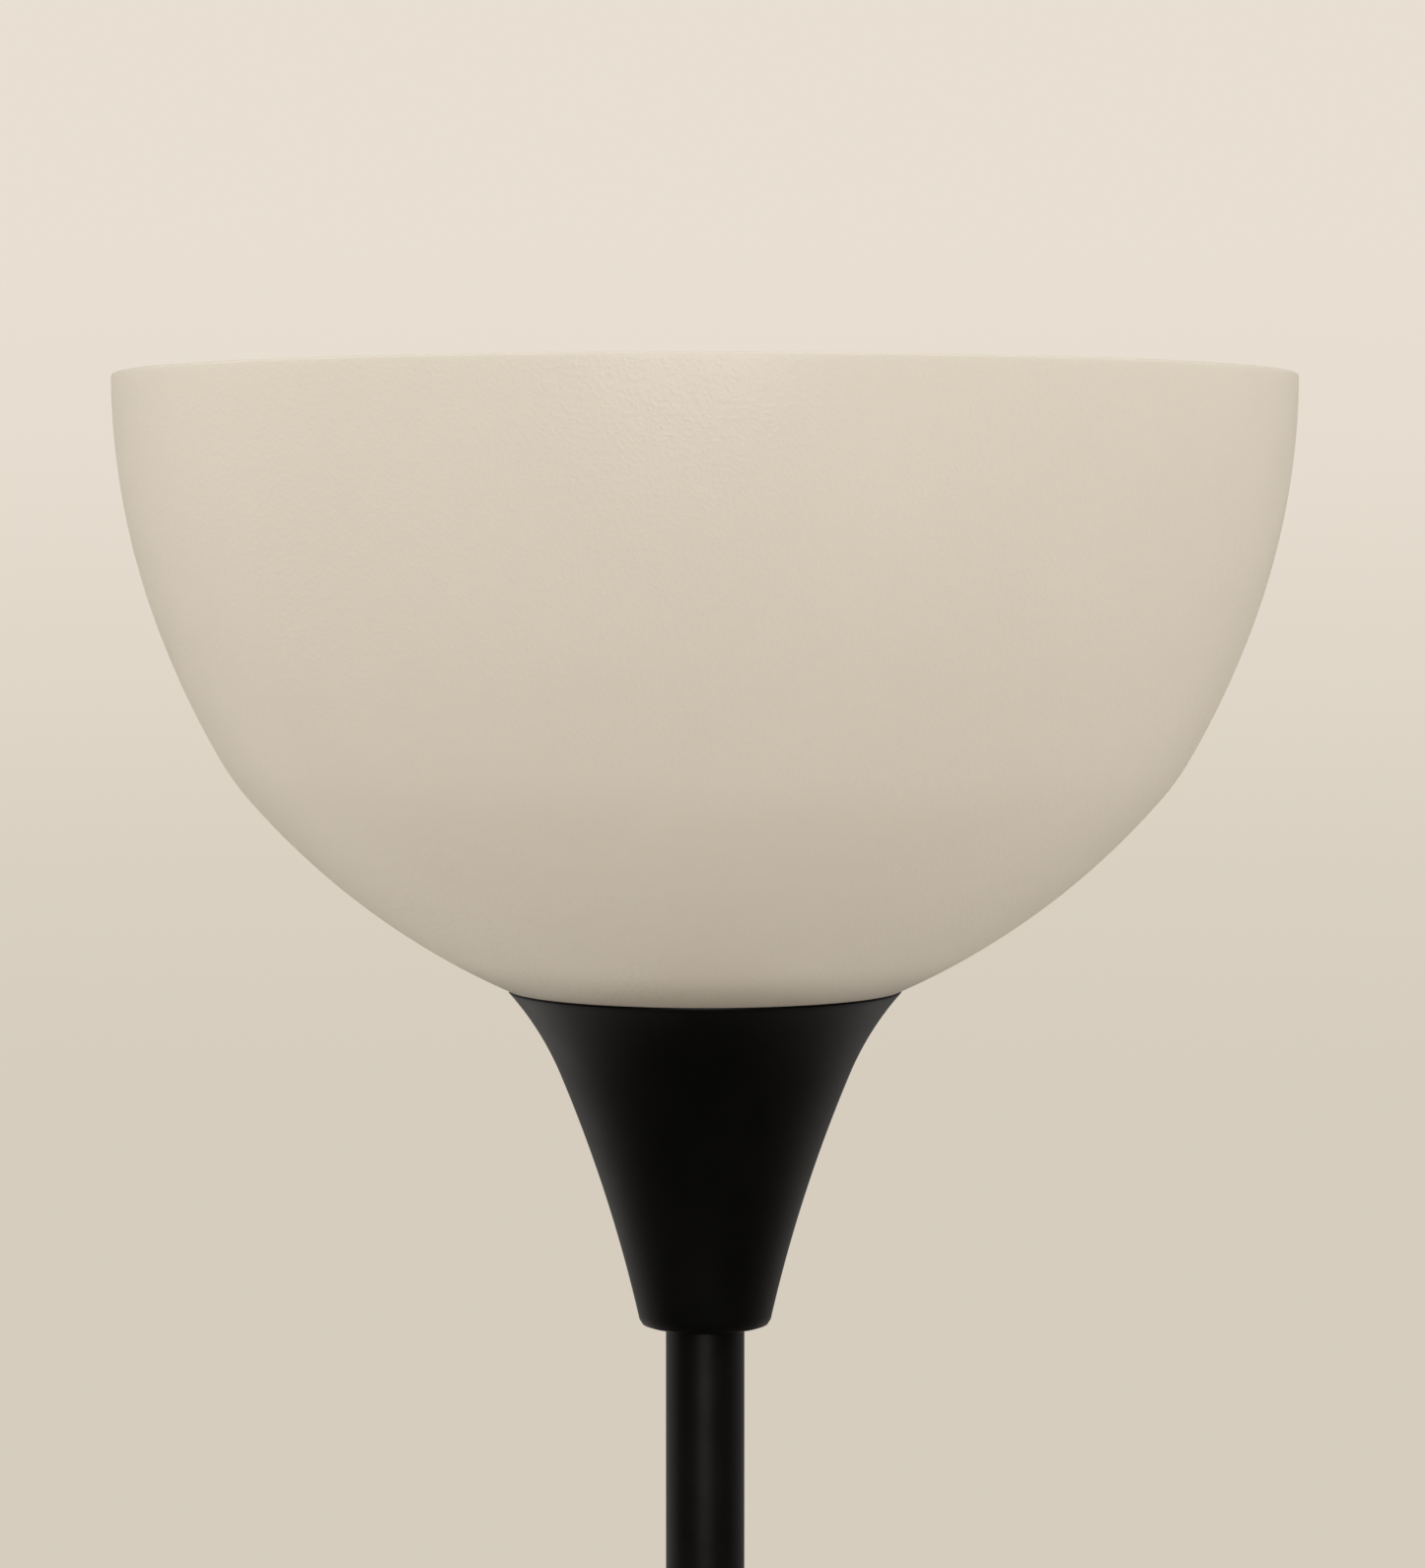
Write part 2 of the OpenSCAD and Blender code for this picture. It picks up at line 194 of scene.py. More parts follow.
def skin(grid, line_closed=True):
    """Vertices and faces over a grid of points [row, column]: each cell between two neighbouring rows and
    columns is one face, columns wrap round, rows do so if the line is closed, and a row that is a single
    point is one vertex. Faces look to the side of (round x along)."""
    rows, columns = grid.shape[:2]
    number = np.arange(rows * columns).reshape(rows, columns)
    single = np.ptp(grid, axis=1).max(axis=1) < 1e-9
    number[single] = number[single][:, :1]
    above = np.roll(number, -1, axis=0) if line_closed else number[1:]
    here = number if line_closed else number[:-1]
    cells = np.stack((here, np.roll(here, -1, 1), np.roll(above, -1, 1), above), axis=-1).reshape(-1, 4)
    low_point, high_point = cells[:, 0] == cells[:, 1], cells[:, 2] == cells[:, 3]
    faces = [cells[~(low_point | high_point)],
             cells[low_point & ~high_point][:, [0, 2, 3]],
             cells[high_point & ~low_point][:, [0, 1, 2]]]
    return grid.reshape(-1, 3), faces


def turned(outline, columns=128, wave=None):
    """The surface that an outline sweeps about the Z axis: (d cos a, d sin a, h) for each point [d, h]
    and each angle a. wave(distance, height, angle) returns the distance at each point of the grid, for
    threads, flutes and ribs."""
    around = np.linspace(0, TURN, columns, endpoint=False)[None, :]
    distance, height = outline[:, :1] + 0 * around, outline[:, 1:2] + 0 * around
    if wave is not None:
        distance = wave(distance, height, around)
    return np.stack((distance * np.cos(around), distance * np.sin(around), height), axis=-1)


def lathe(outline, columns=128, wave=None, line_closed=True):
    """The skin of a turned outline."""
    return skin(turned(np.asarray(outline, float), columns, wave), line_closed)


def forward(grid):
    """A surface about +Z laid down so that its axis points along -Y at the switch's height."""
    return np.stack((grid[..., 0], -grid[..., 2], SWITCH_Z + grid[..., 1]), axis=-1)


def sideways(grid, side, z):
    """A surface about +Z laid down to point along +X (side 1) or -X (side -1), at height z."""
    return np.stack((side * grid[..., 2], side * grid[..., 0], z + grid[..., 1]), axis=-1)


def backward(grid, z):
    """A surface about +Z laid down so that its axis points along +Y at height z."""
    return np.stack((-grid[..., 0], grid[..., 2], z + grid[..., 1]), axis=-1)


def screw_wave(depth, pitch, z_low, z_high, run_in):
    """A right-handed thread: the distance falls and rises by depth once in each pitch as height grows, a
    turn of the angle moves the wave up by one pitch, and both ends run out smoothly over run_in."""
    def wave(distance, height, around):
        swing = 0.5 - 0.5 * np.cos(TURN * (height - z_low) / pitch - around)
        fade = np.clip(np.minimum(height - z_low, z_high - height) / run_in, 0, 1)
        return distance - depth * swing * fade
    return wave


def shell_mesh(name, shells):
    """One mesh of several shells (vertices, faces). Vertices that no face uses are left out."""
    points, faces, first = [], [], 0
    for vertices, groups in shells:
        points.append(vertices)
        faces += [group + first for group in groups]
        first += len(vertices)
    points = np.vstack(points)
    used, index = np.unique(np.concatenate([group.ravel() for group in faces]), return_inverse=True)
    cuts = np.cumsum([group.size for group in faces])[:-1]
    rows = [part.reshape(group.shape).tolist() for part, group in zip(np.split(index.ravel(), cuts), faces)]
    mesh = bpy.data.meshes.new(name)
    mesh.from_pydata(points[used].tolist(), [], [row for group in rows for row in group])
    mesh.shade_smooth()
    return mesh


def piece(name, shells, body, material, stands_for):
    """One finished piece of one or more closed shells, on its body and in place of CAD
    nodes."""
    mesh = shell_mesh(name, shells)
    mesh.set_sharp_from_angle(angle=SHARP_BEND)
    mesh.materials.append(material)
    thing = bpy.data.objects.new(name, mesh)
    bpy.context.scene.collection.objects.link(thing)
    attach(thing, body)
    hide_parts(*stands_for)


# ---- materials ----

class Graph:
    """A node tree, with short calls to add and join nodes."""

    def __init__(self, owner, output):
        owner.use_nodes = True
        self.owner = owner
        self.tree = owner.node_tree
        self.tree.nodes.clear()
        self.out = self.add(output)

    def add(self, kind, inputs=(), **settings):
        """A new node with its settings made and its inputs fed."""
        made = self.tree.nodes.new(kind)
        for key, value in settings.items():
            setattr(made, key, value)
        for key, value in dict(inputs).items():
            self.feed(made.inputs[key], value)
        return made

    def feed(self, socket, value):
        """Another node's output is linked to the socket, and a plain value is set on it."""
        if isinstance(value, bpy.types.NodeSocket):
            self.tree.links.new(value, socket)
        else:
            socket.default_value = value

    def math(self, operation, first, second=0.0):
        """One step of arithmetic on two values."""
        return self.add("ShaderNodeMath", {0: first, 1: second}, operation=operation).outputs[0]

    def spread(self, value, first, last, from_low=0.0, from_high=1.0, smooth=False):
        """value moved from the range from_low..from_high to first..last, and held at its ends."""
        kind = "SMOOTHSTEP" if smooth else "LINEAR"
        ranges = {"Value": value, "From Min": from_low, "From Max": from_high,
                  "To Min": first, "To Max": last}
        return self.add("ShaderNodeMapRange", ranges, interpolation_type=kind).outputs["Result"]

    def blend(self, share, first, second):
        """Two colours mixed, with share of the second."""
        made = self.add("ShaderNodeMix", {0: share, 6: first, 7: second}, data_type="RGBA")
        return made.outputs[2]

    def mixed(self, share, first, second):
        """Two shaders mixed, with share of the second."""
        return self.add("ShaderNodeMixShader", {0: share, 1: first, 2: second}).outputs["Shader"]

    def done(self, shader):
        """The tree's owner, once the shader is joined to its output."""
        self.tree.links.new(shader, self.out.inputs["Surface"])
        return self.owner


class Finish(Graph):
    """A material's node tree that reads the place on the object."""

    def __init__(self, name):
        super().__init__(bpy.data.materials.new(name), "ShaderNodeOutputMaterial")
        self.where = self.add("ShaderNodeTexCoord").outputs["Object"]

    def noise(self, scale, detail=2.0, roughness=0.5, stretch=None):
        """Noise with scale lumps in a metre, drawn out along an axis where stretch is given."""
        where = self.where
        if stretch is not None:
            where = self.add("ShaderNodeMapping", {"Vector": where, "Scale": stretch}).outputs["Vector"]
        settings = {"Vector": where, "Scale": scale, "Detail": detail, "Roughness": roughness}
        return self.add("ShaderNodeTexNoise", settings).outputs["Fac"]

    def specks(self, scale, share):
        """Small round spots in a given share of the cells of a Voronoi pattern."""
        place = {"Vector": self.where, "Scale": scale}
        cell = self.add("ShaderNodeTexVoronoi", place, feature="F1").outputs
        chance = self.add("ShaderNodeSeparateColor", {"Color": cell["Color"]}).outputs["Red"]
        spot = self.spread(cell["Distance"], 1, 0, 0.04, 0.09)
        return self.math("MULTIPLY", spot, self.spread(chance, 0, 1, 1 - share, 1 - share + 0.002))

    def bump(self, height, strength, distance, under=None):
        """The surface's normal, tilted by a height pattern, on top of another bump where one is given."""
        inputs = {"Height": height, "Strength": strength, "Distance": distance}
        if under is not None:
            inputs["Normal"] = under
        return self.add("ShaderNodeBump", inputs).outputs["Normal"]

    def principled(self, **inputs):
        """The main surface shader. A space in an input's name is written as an underscore."""
        names = {key.replace("_", " "): value for key, value in inputs.items()}
        return self.add("ShaderNodeBsdfPrincipled", names).outputs["BSDF"]


def colour(r, g, b):
    """An opaque colour."""
    return (r, g, b, 1.0)


def shade_plastic():
    """Off-white polypropylene that light shines through, with the pebble grain of its mould, about 1 mm
    across. Close to the cup its colour is darkened: painted shade, standing in for the shadow where the bowl
    meets the cup."""
    f = Finish("shade_plastic")
    cloud = f.spread(f.noise(14, 3, 0.55), 0, 1, 0.3, 0.7)
    unshaded_tint = f.blend(cloud, colour(0.790, 0.752, 0.690), colour(0.805, 0.768, 0.706))
    height = f.add("ShaderNodeSeparateXYZ", {0: f.where}).outputs["Z"]
    # Painted shade: the tint darkens towards the bowl's floor near the cup, standing in for the shadow where
    # bowl and cup meet.
    painted_shade = f.spread(height, 1, 0, FLOOR_Z + PAINTED_SHADE_BAND[0], FLOOR_Z + PAINTED_SHADE_BAND[1], smooth=True)
    tint = f.blend(painted_shade, unshaded_tint, colour(0.49, 0.45, 0.40))
    rough = f.spread(f.noise(60, 3, 0.6), 0.285, 0.37, 0.3, 0.7)
    pebbles = f.spread(f.noise(1000, 1, 0.5), 0, 1, 0.42, 0.68, smooth=True)
    normal = f.bump(pebbles, 1.0, 0.04 * MM, f.bump(f.noise(300, 2, 0.5), 1.0, 0.06 * MM))
    body = f.principled(Base_Color=tint, Roughness=rough, IOR=1.49, Normal=normal)
    glow = f.add("ShaderNodeBsdfTranslucent", {"Color": tint}).outputs["BSDF"]
    return f.done(f.mixed(0.42, body, glow))


def black_satin(name, tint, rough, grain_size, grain_depth, dust=0.0, shine=0.5):
    """A black moulded or painted surface: fine orange peel, faint haze and a few specks of dust."""
    f = Finish(name)
    haze = f.noise(35, 4, 0.6)
    hazy = colour(*[1.4 * c + 0.0004 for c in tint])
    tone = f.blend(f.spread(haze, 0, 1, 0.35, 0.75), colour(*tint), hazy)
    if dust:
        tone = f.blend(f.specks(260.0, dust), tone, colour(0.10, 0.097, 0.09))
    roughness = f.spread(haze, rough - 0.03, rough + 0.05, 0.3, 0.7)
    normal = f.bump(f.noise(1 / grain_size, 2, 0.5), 1.0, grain_depth)
    return f.done(f.principled(Base_Color=tone, Roughness=roughness, IOR=1.45,
                               Specular_IOR_Level=shine, Normal=normal))


def metal(name, tint, rough, stretch):
    """Bare metal with fine turning marks that stretch along one direction, and a faint stain."""
    f = Finish(name)
    marks = f.noise(900, 3, 0.7, stretch)
    stain = f.spread(f.noise(60, 3, 0.5), 0, 1, 0.35, 0.7)
    tone = f.blend(stain, colour(*tint), colour(*[0.8 * c for c in tint]))
    roughness = f.spread(marks, rough - 0.06, rough + 0.1, 0.3, 0.7)
    return f.done(f.principled(Base_Color=tone, Metallic=1.0, Roughness=roughness,
                               Normal=f.bump(marks, 0.2, 0.05 * MM)))


def matt_solid(name, tint, rough, lump, depth, contrast=0.85):
    """A plain solid such as concrete, foam, ceramic or white plastic: uneven colour and a fine rough
    skin."""
    f = Finish(name)
    grain = f.noise(1 / lump, 4, 0.65)
    cloud = f.spread(f.noise(40, 3, 0.5), 0, 1, 0.3, 0.7)
    tone = f.blend(cloud, colour(*tint), colour(*[contrast * c for c in tint]))
    roughness = f.spread(grain, rough - 0.08, rough + 0.08, 0.3, 0.7)
    return f.done(f.principled(Base_Color=tone, Roughness=roughness, IOR=1.5,
                               Normal=f.bump(grain, 0.5, depth)))


def globe_plastic():
    """Opal plastic of the bulb's globe, in which light scatters a few millimetres deep."""
    f = Finish("globe_plastic")
    haze = f.noise(50, 2, 0.5)
    tint = f.blend(f.spread(haze, 0, 1, 0.3, 0.7), colour(0.86, 0.85, 0.82), colour(0.83, 0.82, 0.79))
    normal = f.bump(f.noise(2500, 1, 0.5), 0.15, 0.05 * MM)
    roughness = f.spread(haze, 0.3, 0.4, 0.3, 0.7)
    return f.done(f.principled(Base_Color=tint, Roughness=roughness, IOR=1.49, Normal=normal,
                               Subsurface_Weight=0.5, Subsurface_Radius=(0.004, 0.004, 0.004),
                               Subsurface_Scale=1.0))


SHADE = shade_plastic()
CUP_BLACK = black_satin("cup_plastic", (0.0012, 0.0010, 0.0010), 0.38, 0.7 * MM, 0.012 * MM,
                        dust=0.004, shine=0.28)
POLE_BLACK = black_satin("black_steel", (0.0014, 0.0013, 0.0013), 0.315, 1.1 * MM, 0.010 * MM, dust=0.002)
PLASTIC_BLACK = black_satin("black_plastic", (0.005, 0.005, 0.005), 0.42, 0.6 * MM, 0.014 * MM, dust=0.003)
KNOB_BLACK = black_satin("knob_plastic", (0.007, 0.007, 0.007), 0.36, 0.5 * MM, 0.012 * MM)
RUBBER = matt_solid("black_rubber", (0.02, 0.02, 0.02), 0.7, 0.8 * MM, 0.1 * MM)
FOAM = matt_solid("foam", (0.03, 0.03, 0.03), 0.9, 1.2 * MM, 0.4 * MM)
CONCRETE = matt_solid("concrete", (0.32, 0.31, 0.29), 0.85, 2.5 * MM, 0.6 * MM, contrast=0.7)
ZINC = metal("zinc_steel", (0.62, 0.62, 0.60), 0.36, (1, 1, 12))
NICKEL = metal("nickel", (0.72, 0.70, 0.66), 0.35, (1, 1, 12))
BRASS = metal("brass", (0.78, 0.56, 0.26), 0.36, (1, 1, 12))
SOLDER = metal("solder", (0.60, 0.60, 0.61), 0.45, (1, 1, 1))
PORCELAIN = matt_solid("porcelain", (0.80, 0.78, 0.72), 0.38, 3 * MM, 0.1 * MM, contrast=0.95)
WHITE_PLASTIC = matt_solid("white_plastic", (0.78, 0.77, 0.74), 0.42, 0.6 * MM, 0.06 * MM, contrast=0.97)
BROWN_PLASTIC = matt_solid("brown_plastic", (0.12, 0.05, 0.02), 0.45, 1 * MM, 0.1 * MM)
INSULATION = matt_solid("wire_insulation", (0.70, 0.68, 0.60), 0.5, 1 * MM, 0.08 * MM)
BLACK_GLASS = matt_solid("black_glass", (0.02, 0.02, 0.02), 0.18, 3 * MM, 0.05 * MM)
BOARD_GREEN = matt_solid("circuit_board", (0.03, 0.20, 0.08), 0.5, 1 * MM, 0.05 * MM)
BOARD_WHITE = matt_solid("aluminium_board", (0.80, 0.80, 0.78), 0.4, 1 * MM, 0.05 * MM, contrast=0.95)
GLOBE = globe_plastic()


# ---- the head: shade, cup, lampholder ----

def make_shade():
    """The bowl's outside is five tangent arcs from its upright rim to its flat floor; the inside is the
    same line set in by the wall, and small rounds join the two at the rim and round the hole."""
    radii = np.array([172, 204, 57, 176, 15]) * MM
    line = tangent_arcs((SHADE_R, 0), 0, radii, [19.8, 29.9, 40.4, 69.7, 90], -1, 1.8 * MM)
    line[:, 1] = RIM_Z - line[:, 1]
    outside, inside = line[:, :2], set_in(line, SHADE_WALL)
    inner_r, lip_round, hole_round = SHADE_R - SHADE_WALL, 0.8 * MM, 0.4 * MM
    floor_top, start = FLOOR_Z + SHADE_WALL, RIM_Z - 3 * MM
    rim = rounded([[SHADE_R, start], [SHADE_R, RIM_Z, lip_round], [inner_r, RIM_Z, lip_round],
                   [inner_r, start]], closed=False)[1:-1]
    hole = rounded([[outside[-1, 0], FLOOR_Z], [SHADE_HOLE_R, FLOOR_Z, hole_round],
                    [SHADE_HOLE_R, floor_top, hole_round], [inside[-1, 0], floor_top]], closed=False)[1:-1]
    below_rim = RIM_Z - lip_round - 0.1 * MM
    outline = np.vstack((outside[outside[:, 1] < below_rim][::-1], rim,
                         inside[inside[:, 1] < below_rim], hole[::-1]))
    piece("shade_bowl", [lathe(outline, 256)], "stand", SHADE, ["shade"])


def make_cup():
    """The cup's outside is a rounded foot edge and two arcs that flare ever faster, up to a lip with a
    short upright edge. The inside is the same line set in by the wall."""
    radii, foot = np.array([-2, 354, 71]) * MM, (CUP_FOOT_R, 0)
    outer = tangent_arcs(foot, math.pi / 2, radii, [12.75, 22.8, 41.35], 1, 1.5 * MM)
    inner = tangent_arcs(foot, math.pi / 2, radii, [12.75, 22.8, 37], 1, 1.5 * MM)
    outer[:, 1] += CUP_Z
    inner[:, 1] += CUP_Z
    web_top = WEB_Z + 3 * MM
    wall = set_in(inner, 2 * MM)
    wall = wall[wall[:, 1] > web_top + 1 * MM][::-1, :2]
    lip, lip_z = outer[-1, 0], outer[-1, 1]
    edge = rounded([[lip - 0.3 * MM, lip_z - 0.35 * MM], [lip, lip_z, 0.15 * MM],
                    [lip, CUP_TOP - 0.03 * MM, 0.15 * MM], [lip - 0.8 * MM, CUP_TOP - 0.2 * MM, 0.3 * MM],
                    [wall[0, 0], wall[0, 1]]], closed=False)[1:-1]
    bore, hole = TUBE_R + GAP, 5 * MM
    web = rounded([[wall[-1, 0], wall[-1, 1]], [CUP_FOOT_R, web_top, 1 * MM], [hole, web_top, 0.3 * MM],
                   [hole, WEB_Z, 0.3 * MM], [bore, WEB_Z, 0.5 * MM], [bore, CUP_Z, 0.4 * MM],
                   [CUP_FOOT_R, CUP_Z]], closed=False)[1:-1]
    outline = np.vstack((outer[:-1, :2], edge, wall, web))
    piece("cup", [lathe(outline, 192)], "stand", CUP_BLACK, ["socket_cup"])


def make_tube(name, node):
    """A plain tube: a rectangle with rounded corners, turned about the axis."""
    z_low, z_high, bore = low(node), high(node), TUBE_R - TUBE_WALL
    ring = rounded([[TUBE_R, z_low, 0.25 * MM], [TUBE_R, z_high, 0.25 * MM], [bore, z_high, 0.2 * MM],
                    [bore, z_low, 0.2 * MM]])
    piece(name, [lathe(refined(ring, 12 * MM), 96)], "stand", POLE_BLACK, [node])


def make_skirt():
    """The lampholder's body: its flange carries the shade, and its threaded skirt stands up through the
    hole."""
    flange, flange_low, flange_top = 23 * MM, FLOOR_Z - 3 * MM, FLOOR_Z - GAP
    skirt, inner, mouth, ledge = 19.75 * MM, 17.3 * MM, 15.4 * MM, HOLDER_MOUTH - 2 * MM
    outline = rounded([[HOLDER_R, HOLDER_LOW, 0.4 * MM], [HOLDER_R, flange_low, 0.4 * MM],
                       [flange, flange_low, 0.6 * MM], [flange, flange_top, 0.4 * MM],
                       [skirt, flange_top], [skirt, HOLDER_MOUTH, 0.7 * MM],
                       [mouth, HOLDER_MOUTH, 0.7 * MM], [mouth, ledge, 0.4 * MM], [inner, ledge],
                       [inner, HOLDER_LOW]])
    thread = screw_wave(0.9 * MM, 2.5 * MM, FLOOR_Z + 2 * MM, HOLDER_MOUTH - 1.2 * MM, 0.8 * MM)

    def wave(distance, height, around):
        threaded = (distance > skirt - 0.2 * MM) & (height > FLOOR_Z)
        return np.where(threaded, thread(distance, height, around), distance)
    piece("lampholder_skirt", [lathe(refined(outline, 0.45 * MM), 128, wave)], "stand",
          PLASTIC_BLACK, ["holder_body"])


def make_dome():
    """The lampholder's lower half: a neck that widens in three steps, and a wall that follows it inside."""
    foot, top, seam = low("holder_dome"), high("holder_dome"), HOLDER_LOW - GAP
    outline = rounded([[5 * MM, foot, 0.3 * MM], [9.5 * MM, foot, 0.6 * MM],
                       [9.5 * MM, foot + 7 * MM, 1 * MM], [12 * MM, foot + 9.5 * MM, 2 * MM],
                       [16.5 * MM, foot + 12.5 * MM, 3 * MM],
                       [18.6 * MM, foot + 15.5 * MM, 2 * MM], [HOLDER_R, seam, 0.3 * MM], [17.2 * MM, seam],
                       [17.2 * MM, top, 0.3 * MM], [15.4 * MM, top, 0.3 * MM],
                       [15 * MM, foot + 15 * MM, 1 * MM], [8 * MM, foot + 11 * MM, 1 * MM],
                       [5 * MM, foot + 11 * MM, 0.3 * MM]])
    piece("lampholder_dome", [lathe(outline, 96)], "stand", PLASTIC_BLACK, ["holder_dome"])


def make_screw_shell():
    """A thin sleeve rolled into the bulb's thread."""
    foot, top, outer, inner = low("holder_shell"), high("holder_shell"), 13.65 * MM, 13.3 * MM
    sleeve = rounded([[outer, foot, 0.1 * MM], [outer, top, 0.15 * MM], [inner, top, 0.1 * MM],
                      [inner, foot, 0.1 * MM]])
    thread = screw_wave(THREAD_DEPTH, THREAD_PITCH, CAP_LOW, top + 3 * MM, 1 * MM)
    piece("screw_shell", [lathe(refined(sleeve, 0.4 * MM), 128, thread)], "stand", NICKEL,
          ["holder_shell"])


def make_shade_ring():
    """A wide flat flange and a ribbed collar: the collar's distance from the axis swings with the angle,
    by a cosine whose crests are cut off, and the swing fades at the collar's foot and top."""
    z, bore, ribs, rib_depth = low("shade_ring"), 19.9 * MM, 36, 0.7 * MM
    collar_foot, top = z + 3.3 * MM, z + 10 * MM
    outline = rounded([[bore, z, 0.3 * MM], [28.5 * MM, z, 0.4 * MM], [28.5 * MM, z + 2 * MM, 0.8 * MM],
                       [27 * MM, z + 3 * MM, 0.5 * MM], [24.5 * MM, z + 3.4 * MM, 0.6 * MM],
                       [23.7 * MM, z + 9 * MM, 0.5 * MM], [22.7 * MM, top, 0.5 * MM],
                       [bore, top, 0.4 * MM]])

    def wave(distance, height, around):
        grip = (distance > 22.9 * MM) & (height > collar_foot)
        valley = np.clip(1.6 * np.cos(ribs * around) - 0.3, 0, 1)
        fade_low = np.clip((height - collar_foot) / (1.2 * MM), 0, 1)
        fade_high = np.clip((top - 0.2 * MM - height) / (1 * MM), 0, 1)
        return distance - np.where(grip, rib_depth * valley * fade_low * fade_high, 0)
    piece("clamp_ring", [lathe(refined(outline, 0.7 * MM), 8 * ribs, wave)], "stand",
          PLASTIC_BLACK, ["shade_ring"])


# ---- the bulb ----

def make_globe():
    """The outside is part of a sphere, (R cos t, R sin t) from its cut foot to its top, and the inside is
    one with its radius smaller by the wall."""
    centre, inner_r = GLOBE_TOP - GLOBE_R, GLOBE_R - 1 * MM
    t = np.linspace(-GLOBE_CUT, math.pi / 2, 48)
    outside = np.column_stack((GLOBE_R * np.cos(t), centre + GLOBE_R * np.sin(t)))
    inside = np.column_stack((inner_r * np.cos(t), centre + inner_r * np.sin(t)))[::-1]
    outside[-1, 0] = inside[0, 0] = 0
    piece("globe", [lathe(np.vstack((outside, inside)), 128)], "bulb", GLOBE,
          ["bulb_globe"])


def make_bulb_body():
    """The housing is one arc that starts upright at the cap and flares out to the globe's foot. An arc
    that rises by h and widens by w turns through 2 * atan(w / h)."""
    foot_r, rise, neck_r = GLOBE_R * math.cos(GLOBE_CUT), GLOBE_FOOT - CAP_TOP, 13.6 * MM
    flare = math.atan2(foot_r - neck_r, rise) * 2
    radius, end = rise / math.sin(flare), math.degrees(flare)
    arc = tangent_arcs((neck_r, CAP_TOP + GAP), 0, [radius], [end], 1, 1.2 * MM)
    arc[-1, :2] = [foot_r, GLOBE_FOOT - GAP]
    back = arc[::-1, :2] - [1.5 * MM, 0]
    back = back[back[:, 1] > CAP_TOP + 2 * MM]
    sleeve_foot = CAP_TOP - 8 * MM
    sleeve = np.array([[11 * MM, CAP_TOP], [11 * MM, sleeve_foot], [12.6 * MM, sleeve_foot],
                       [12.6 * MM, CAP_TOP + GAP]])
    piece("bulb_body", [lathe(np.vstack((arc[:, :2], back, sleeve)), 128)], "bulb",
          WHITE_PLASTIC, ["bulb_housing"])


def make_bulb_cap():
    """A thin sleeve with a turned-in foot, rolled into the same thread as the screw shell."""
    crest, wall = reach("bulb_cap"), 0.4 * MM
    sleeve = rounded([[crest - 0.6 * MM, CAP_LOW, 0.1 * MM], [crest - 0.2 * MM, CAP_LOW, 0.1 * MM],
                      [crest, CAP_LOW + 1 * MM, 0.3 * MM], [crest, CAP_TOP, 0.2 * MM],
                      [crest - wall, CAP_TOP, 0.1 * MM], [crest - wall, CAP_LOW + 1.4 * MM, 0.3 * MM],
                      [crest - 0.6 * MM, CAP_LOW + 1.2 * MM]])
    thread = screw_wave(THREAD_DEPTH, THREAD_PITCH, CAP_LOW, CAP_TOP - 2 * MM, 1 * MM)
    piece("bulb_screw_cap", [lathe(refined(sleeve, 0.4 * MM), 128, thread)], "bulb", NICKEL,
          ["bulb_cap"])


# ---- the pole's switch ----

def make_end_cap(name, node, z_end, up):
    """A tapered rim that fills the step from the tube to the shell, and a sleeve inside the shell.
    Heights are in millimetres from the cap's outer end; up is 1 for the lower cap and -1 for the
    upper."""
    rim, sleeve, bore, hole = HOUSING_R, 12.45 * MM, TUBE_R + GAP, 5 * MM
    corners = [[hole, 5, 0.2], [bore, 5, 0.2], [bore, 0, 0.3], [TUBE_R + 1.6 * MM, 0, 0.4],
               [TUBE_R + 2.4 * MM, 0.8, 0.6], [rim - 0.6 * MM, 5, 0.8], [rim, 5.95, 0.25],
               [sleeve, 5.95, 0.1], [sleeve, 11, 0.3], [sleeve - 1.95 * MM, 11, 0.2],
               [sleeve - 1.95 * MM, 8, 0.2], [hole, 8, 0.2]]
    outline = rounded([[x, z_end + up * z * MM, radius * MM] for x, z, radius in corners])
    piece(name, [lathe(outline[::up], 96)], "stand", PLASTIC_BLACK, [node])


def make_switch_housing():
    """The shell is a plain tube. Its boss is carried from a flat front face to the shell: the share v of
    the way back takes each point from the front plane to the cylinder below it, as v ** 0.8, and widens
    the boss into a fillet, as v ** 3."""
    r, wall, boss_r, boss_bore = HOUSING_R, 1.5 * MM, 6.6 * MM, 4.05 * MM
    z0, z1 = HOUSING_LOW + CAP_RIM, HOUSING_HIGH - CAP_RIM
    shell = rounded([[r, z0, 0.2 * MM], [r, z1, 0.2 * MM], [r - wall, z1, 0.2 * MM],
                     [r - wall, z0, 0.2 * MM]])
    around = np.linspace(0, TURN, 96, endpoint=False)[None, :]
    round_x, round_z = np.cos(around), np.sin(around)
    v = np.linspace(0, 1, 14)[:, None]
    width = boss_r + 0.9 * MM * v ** 3
    on_shell = np.sqrt((r - 0.02 * MM) ** 2 - (width * round_x) ** 2)
    side = BOSS_FRONT + (on_shell - BOSS_FRONT) * v ** 0.8
    side = np.minimum(side, BOSS_FRONT - 0.3 * MM * (v < 0.01))
    flank = np.stack((width * round_x, -side, SWITCH_Z + width * round_z), axis=-1)
    face_r = np.array([4.05, 4.05, 4.2, 6.2, 6.5])[:, None] * MM
    face_y = BOSS_FRONT + np.array([-3.2, -0.2, 0.0, 0.0, -0.15])[:, None] * MM
    face = np.stack((face_r * round_x, -face_y + 0 * around, SWITCH_Z + face_r * round_z), axis=-1)
    back = np.stack((boss_bore * round_x, wall - r + 0 * around, SWITCH_Z + boss_bore * round_z), axis=-1)
    boss = np.vstack((face, flank, back))[::-1]
    piece("switch_shell", [lathe(refined(shell, 4 * MM), 128), skin(boss)], "stand",
          POLE_BLACK, ["switch_housing"])


